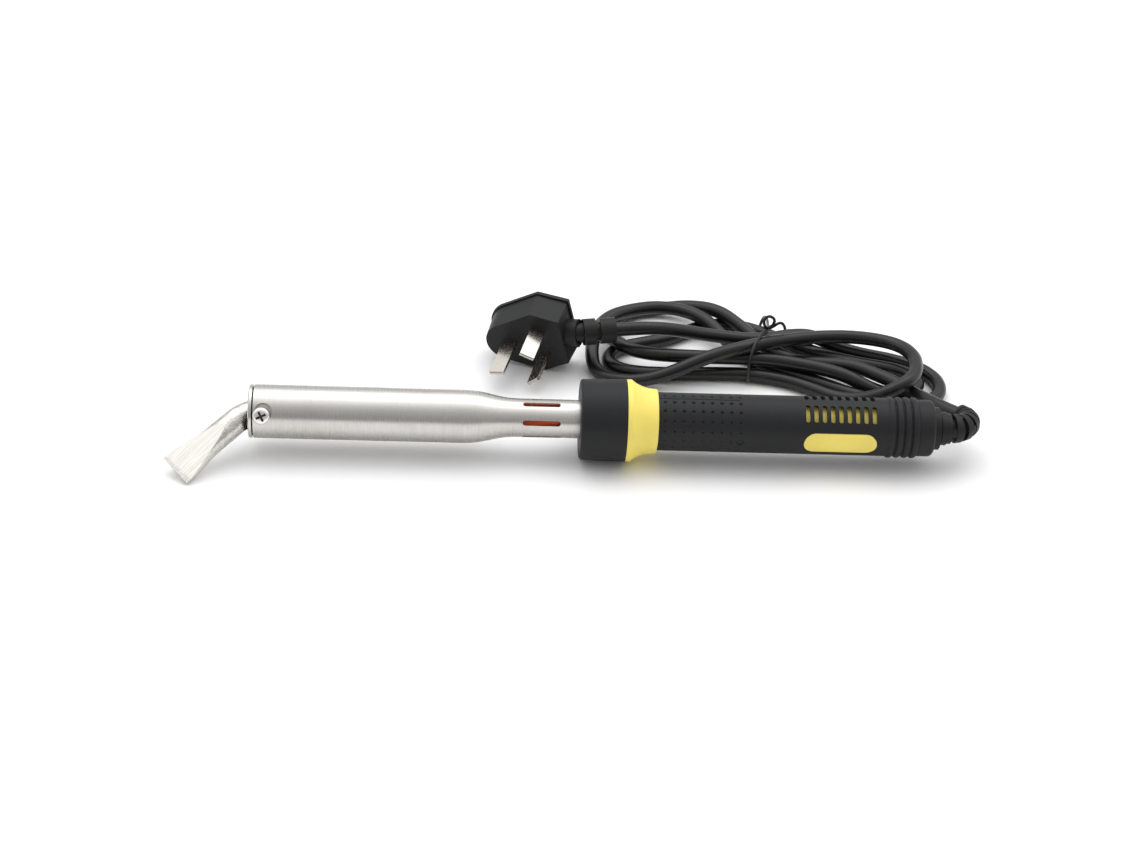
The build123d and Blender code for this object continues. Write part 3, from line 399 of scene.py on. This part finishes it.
def screw_material():
    """Bright nickel on the screw's head, dulled and browned inside the cross recess."""
    p = Paint("screw_nickel", metallic=1.0)
    axis_point = at(SCREW_STATION, 0, AXIS_Z / MM)
    height = p.maths("SUBTRACT", p.along(p.place, SCREW_AXIS), axis_point.dot(SCREW_AXIS))
    offset = p.node("ShaderNodeVectorMath", Vector=p.place)
    offset.operation = "SUBTRACT"
    offset.inputs[1].default_value = axis_point
    reach = p.length(offset.outputs["Vector"])
    square = p.maths("SUBTRACT", p.maths("POWER", reach, 2.0), p.maths("POWER", height, 2.0))
    off_axis = p.maths("SQRT", p.maths("MAXIMUM", square, 0.0))
    near = p.spread(off_axis, RECESS_RADIUS, RECESS_RADIUS + RECESS_BLUR, 1.0, 0.0)
    facing = p.along(p.tree.nodes["Texture Coordinate"].outputs["Normal"], SCREW_AXIS)
    wall = p.spread(facing, 0.3, 0.6, 1.0, 0.0)
    bottom = SCREW_TOP - RECESS_DEPTH
    floor = p.spread(height, bottom, bottom + RECESS_BLUR, 1.0, 0.0)
    recess = p.maths("MULTIPLY", near, p.maths("MAXIMUM", wall, floor))
    grain = p.grainy(2400)
    soft = p.grainy(700)
    brown = p.mixed(grain, (0.10, 0.075, 0.05), (0.20, 0.155, 0.11))
    p.colour(p.mixed(recess, p.mixed(soft, (0.88, 0.87, 0.84), (0.80, 0.79, 0.76)), brown))
    p.gloss(p.maths("ADD", p.varied(grain, 0.24, 0.36), p.maths("MULTIPLY", recess, 0.3)))
    p.relief(p.bump(soft, 0.08 * MM, p.bump(grain, 0.01 * MM)))
    return p.material


def ring_material():
    """The barrel's stainless on the end ring, with painted shade, near black, in the groove behind it and in
    its bore.
    """
    p = Paint("end_ring_steel", metallic=1.0)
    centre = at(0, 0, AXIS_Z / MM)
    flat = p.node("ShaderNodeMapping", Vector=p.place)
    flat.inputs["Location"].default_value = (0.0, -centre.y, -centre.z)
    flat.inputs["Scale"].default_value = (0.0, 1.0, 1.0)
    off_axis = p.length(flat.outputs["Vector"])
    # painted shade: near black and rougher inside the bore's radius, standing in for the shade in the bore
    # and the groove
    bore_shade = p.spread(off_axis, BORE_SHADE_RADIUS, BORE_SHADE_RADIUS + BORE_SHADE_BLUR, 1.0, 0.0)
    grain = p.grainy(1800)
    clean = p.mixed(grain, (0.66, 0.645, 0.61), (0.58, 0.565, 0.53))
    # the painted shade of the bore and groove goes into the colour here
    p.colour(p.mixed(bore_shade, clean, (0.02, 0.018, 0.016)))
    p.gloss(p.maths("ADD", p.varied(grain, 0.2, 0.32), p.maths("MULTIPLY", bore_shade, 0.45)))
    p.relief(p.bump(grain, 0.004 * MM))
    return p.material


def moulded(name, tone, gloss, shine=0.22, grain=4200.0, speckle=0.25, depth=0.02 * MM, dust=0.48):
    """Moulded plastic: spark-eroded grain, faint clouding and a few pale specks of dust."""
    p = Paint(name, Specular_IOR_Level=shine)
    fine = p.grainy(grain, detail=2.0)
    clouds = p.grainy(70)
    pale = tuple(min(1.0, c * (1 + speckle) + 0.004) for c in tone)
    deep = tuple(c * (1 - speckle) for c in tone)
    base = p.mixed(p.varied(fine), deep, pale)
    shaded = p.mixed(p.varied(clouds, 0.0, 0.35), base, tuple(c * 1.25 for c in tone))
    specks = p.spread(p.cells((1500, 1500, 1500)), 0.05, 0.11, 1.0, 0.0)
    few = p.maths("MULTIPLY", specks, p.spread(p.grainy(500), 0.62, 0.68))
    lint = tuple(min(1.0, c + 0.22) for c in tone)
    p.colour(p.mixed(p.maths("MULTIPLY", few, dust), shaded, lint))
    cloudy = p.varied(clouds, -0.03, 0.03)
    p.gloss(p.maths("ADD", p.spread(fine, 0.25, 0.75, gloss - 0.05, gloss + 0.05), cloudy))
    p.relief(p.bump(fine, depth, p.bump(p.grainy(260), depth * 2)))
    return p.material


def jacket(name, tone, gloss):
    """Extruded cord jacket: low sheen, slight waviness along it and faint handling marks."""
    p = Paint(name, Specular_IOR_Level=0.38)
    fine = p.grainy(3000, detail=2.0)
    wave = p.grainy(130, detail=2.0)
    scuff = p.spread(p.noise((420, 420, 420), detail=4.0, roughness=0.7), 0.6, 0.72)
    clean = p.mixed(wave, tone, tuple(c * 1.3 for c in tone))
    p.colour(p.mixed(p.maths("MULTIPLY", scuff, 0.3), clean, tuple(c + 0.05 for c in tone)))
    rubbed = p.maths("MULTIPLY", scuff, 0.12)
    p.gloss(p.maths("ADD", p.varied(fine, gloss - 0.04, gloss + 0.05), rubbed))
    p.relief(p.bump(wave, 0.09 * MM, p.bump(fine, 0.01 * MM)))
    return p.material


def plain(name, tone, gloss, metallic=0.0, depth=0.01 * MM, variation=0.15):
    """An even surface with fine grain and slight variation, for inner pieces."""
    p = Paint(name, metallic=metallic)
    fine = p.grainy(2500.0)
    deep = tuple(c * (1 - variation) for c in tone)
    pale = tuple(min(1.0, c * (1 + variation)) for c in tone)
    p.colour(p.mixed(p.varied(fine), deep, pale))
    p.gloss(p.varied(fine, gloss - 0.06, gloss + 0.06))
    p.relief(p.bump(fine, depth))
    return p.material


def braided(name, tone, gloss):
    """A woven sleeve over a lead: crossing strands and a slight sheen."""
    p = Paint(name)
    wave = p.node(
        "ShaderNodeTexWave", Vector=p.stretched(900, 900, 900), Scale=1.0, Distortion=1.5, Detail=2.0)
    wave.bands_direction = "DIAGONAL"
    fine = p.grainy(2600)
    weave = p.maths("MULTIPLY", wave.outputs["Fac"], p.spread(fine, 0.2, 0.8, 0.6, 1.0))
    p.colour(p.mixed(weave, tuple(c * 0.75 for c in tone), tone))
    p.gloss(p.spread(weave, 0.0, 1.0, gloss + 0.1, gloss))
    p.relief(p.bump(weave, 0.1 * MM))
    return p.material


def striped(name, first, second):
    """Two-coloured insulation, striped along the lead."""
    p = Paint(name, roughness=0.4)
    wave = p.node("ShaderNodeTexWave", Vector=p.stretched(0, 420, 420), Scale=1.0)
    wave.bands_direction = "Y"
    edge = p.spread(wave.outputs["Fac"], 0.45, 0.55)
    p.colour(p.mixed(edge, first, second))
    p.relief(p.bump(p.grainy(2000), 0.01 * MM))
    return p.material


# ---------------------------------------------------------------- cord
CORD_RADIUS = 3.0 * MM
# the route's points, in mm: station, distance behind the axis, height above the floor
FROM_IRON = [
    (160.39, 14.60, 14.69), (154.6, 21.4, 13.6), (149.6, 30.0, 11.8), (145.2, 38.0, 9.8),
    (139.5, 46.5, 9.3), (131, 54, 9.3), (121, 61, 9.3), (109, 67.5, 6), (98, 74, 3.2), (90, 80, 3.2),
]
HANK = [
    (83, 87, 4.5), (75, 96, 7.5), (66, 104.5, 10), (54, 112.5, 7), (42, 116, 3.2), (30.5, 114, 3.2),
    (21.5, 106.5, 3.2), (16.5, 96, 3.2), (16.3, 86, 5), (18.5, 76.5, 9.3), (24, 69.5, 9.3), (33, 66, 9.3),
    (43, 65, 9.3), (54, 64.5, 9.3), (65, 64.5, 9.3), (75, 64.5, 9.3), (88, 63.5, 9.3), (100, 60, 9.3),
    (109, 57, 9.3), (118, 53.2, 8.6), (128, 49.3, 5), (138, 46.4, 3.2), (147, 49.2, 3.2),
    (151.3, 57, 3.2), (148, 65.2, 3.2), (138.5, 69.6, 3.2), (126, 72.6, 3.2), (111, 79, 3.2),
    (97, 88.5, 3.2), (86, 97, 3.2), (75, 102.5, 3.2), (63.5, 103, 3.2), (53, 97, 3.2), (42, 88.5, 3.2),
    (30, 84.5, 3.2), (20.5, 80, 3.2), (14.8, 72.5, 3.2), (17, 64.5, 3.2), (25.5, 60.3, 3.2),
    (37, 59.6, 3.2), (50, 60.3, 3.2), (66, 61, 3.2), (76, 61, 3.2), (91, 57.5, 3.2), (102, 51.5, 3.2),
    (113, 43.5, 3.2), (123, 37.5, 6.5), (132.5, 34.5, 12), (140.5, 36.5, 15.8), (145.5, 43, 16),
    (147.5, 51, 15.8), (148, 60, 15.2), (144, 70.5, 14), (135, 77, 13), (122, 80, 12.5), (107, 78, 13),
    (93, 73, 14), (83, 68, 15.2), (74, 63.5, 15.4), (64, 60, 14.5), (54, 57, 12), (44, 54.5, 8),
    (33, 52.8, 4.5), (23, 52.5, 3.2), (14, 55, 3.2), (8.8, 62.5, 3.4), (8, 73, 6.5), (10.2, 84, 10.3),
    (16.5, 94.5, 11), (27, 102.5, 10), (39, 107, 9.3), (51, 104.5, 9.3), (60, 97, 9.3), (66, 89, 7),
    (72, 80.5, 4), (81, 71.5, 3.2), (92, 65, 3.2), (104, 57.5, 3.2), (117, 48.8, 3.2), (129.5, 42, 3.2),
    (141, 38.6, 3.2), (152, 41, 3.2), (159, 48.5, 3.2), (160, 59, 3.2), (154.5, 69, 3.2),
    (142.5, 76.3, 3.2), (128.5, 80.5, 3.2), (117, 84.5, 4.5), (107, 86, 9), (97, 84.5, 9.8),
    (88, 81, 9.8), (78, 79, 10), (66, 78.5, 11.5),
]
TO_PLUG = [
    (56, 77, 13.5), (47, 74.3, 16.5), (37.5, 71.3, 19.2), (27.0, 68.4, 20.7), (17.3, 66.9, 20.4),
]


def spline_object(name, points, radius):
    """A smooth round line through a route, as one open spline."""
    curve = bpy.data.curves.new(name, "CURVE")
    curve.dimensions = "3D"
    # the points' radius gives the thickness, so that the curve's own box is true
    curve.bevel_depth = 1.0
    curve.bevel_resolution = 6
    curve.use_fill_caps = True
    spline = curve.splines.new("NURBS")
    spline.points.add(len(points) - 1)
    for point, place in zip(spline.points, points):
        point.co = (*place, 1.0)
        point.radius = radius
    # the order is set after the points, or it stays at straight runs
    spline.order_u = 3
    spline.use_endpoint_u = True
    spline.resolution_u = 10
    piece = bpy.data.objects.new(name, curve)
    bpy.context.collection.objects.link(piece)
    return piece


def spline_length(points):
    """The length of the smooth line that a route's control points give."""
    probe = spline_object("probe", points, 0.0)
    probe.data.bevel_depth = 0.0
    mesh = bpy.data.meshes.new_from_object(probe.evaluated_get(bpy.context.evaluated_depsgraph_get()))
    ends = ([mesh.vertices[index].co for index in edge.vertices] for edge in mesh.edges)
    total = sum((first - second).length for first, second in ends)
    bpy.data.objects.remove(probe)
    return total


route = [at(*p) for p in FROM_IRON + HANK + TO_PLUG]
cord_length = spline_length(route)
cord = spline_object("cord", route, CORD_RADIUS)
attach(cord, "iron")
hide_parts("cord_lead", "cord_hank", "cord_plug_lead")

# each CAD node's finish
FINISHES = {
    "tip_plating": tip_material(),
    "screw_nickel": screw_material(),
    "stainless": stainless(),
    "turned_steel": plain("turned_steel", (0.46, 0.44, 0.41), 0.42, metallic=1.0, depth=0.012 * MM),
    "mica": plain("mica", (0.60, 0.50, 0.34), 0.45, variation=0.25),
    "heater_alloy": plain("heater_alloy", (0.30, 0.27, 0.25), 0.5, metallic=1.0),
    "ceramic": plain("ceramic", (0.78, 0.75, 0.68), 0.75, depth=0.03 * MM),
    "red_silicone": braided("red_silicone", (1.0, 0.14, 0.035), 0.5),
    "zinc_steel": plain("zinc_steel", (0.66, 0.66, 0.65), 0.3, metallic=1.0),
    "black_plastic": moulded("black_plastic", (0.0130, 0.0134, 0.0145), 0.50),
    "yellow_plastic": moulded(
        "yellow_plastic", (0.88, 0.72, 0.145), 0.42, shine=0.4, speckle=0.03, depth=0.008 * MM, dust=0.0),
    "block_plastic": moulded("block_plastic", (0.74, 0.73, 0.66), 0.5, speckle=0.05, dust=0.0),
    "brass": plain("brass", (0.78, 0.57, 0.25), 0.32, metallic=1.0),
    "brown_insulation": plain("brown_insulation", (0.13, 0.045, 0.015), 0.4),
    "blue_insulation": plain("blue_insulation", (0.02, 0.10, 0.42), 0.4),
    "earth_insulation": striped("earth_insulation", (0.09, 0.32, 0.03), (0.80, 0.62, 0.03)),
    "black_rubber": moulded("black_rubber", (0.0120, 0.0122, 0.0130), 0.46, grain=3000, dust=0.4),
    "cord_jacket": jacket("cord_jacket", (0.0066, 0.0067, 0.0072), 0.30),
    "tie_plastic": jacket("tie_plastic", (0.0085, 0.0085, 0.0090), 0.38),
    "plug_plastic": moulded("plug_plastic", (0.0125, 0.0128, 0.0136), 0.44, grain=3600),
    "plug_brass": pin_plating(),
}
for row in frame["record"]["subparts"]:
    skin = nodes[row["node"]].data.materials
    skin.clear()
    skin.append(FINISHES[row["material_slot"]])
nodes["barrel_end_ring"].data.materials[0] = ring_material()
# the earth lead wears the same red heat-proof sleeve where the neck's slots show it
nodes["lead_earth"].data.materials[0] = FINISHES["red_silicone"]
cord.data.materials.append(FINISHES["cord_jacket"])

# ---------------------------------------------------------------- the wire tie round the hank's waist
TIE_RADIUS = 0.65 * MM
TIE = [
    (84.2, 72.5, 19.2), (81.0, 67, 19.6), (78.0, 61.5, 18.6), (76.0, 56.5, 14.6), (75.4, 54.6, 9),
    (75.8, 55.4, 3.6), (76.6, 59, 0.8), (78.4, 70, 0.8), (81, 84, 0.9), (83.6, 97, 0.9),
    (85.2, 102.6, 1.6), (86.4, 105, 4.6), (87, 102.5, 8.6), (87, 94, 12.4), (86.4, 86, 14.6),
    (85.6, 78, 17.4), (84.6, 73.4, 19.4), (83.0, 71.6, 21.4), (82.2, 72.0, 24.6), (84.6, 72.6, 26.4),
    (87.4, 72.8, 24.6), (87.0, 72.8, 21.6), (84.4, 72.6, 19.8), (86.6, 73.0, 20.2), (89.6, 73.6, 22.6),
    (91.8, 73.8, 21.4), (92.4, 73.6, 19.2),
]
tie = spline_object("tie", [at(*p) for p in TIE], TIE_RADIUS)
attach(tie, "iron")
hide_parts("twist_tie")
tie.data.materials.append(FINISHES["tie_plastic"])

bpy.context.view_layer.update()
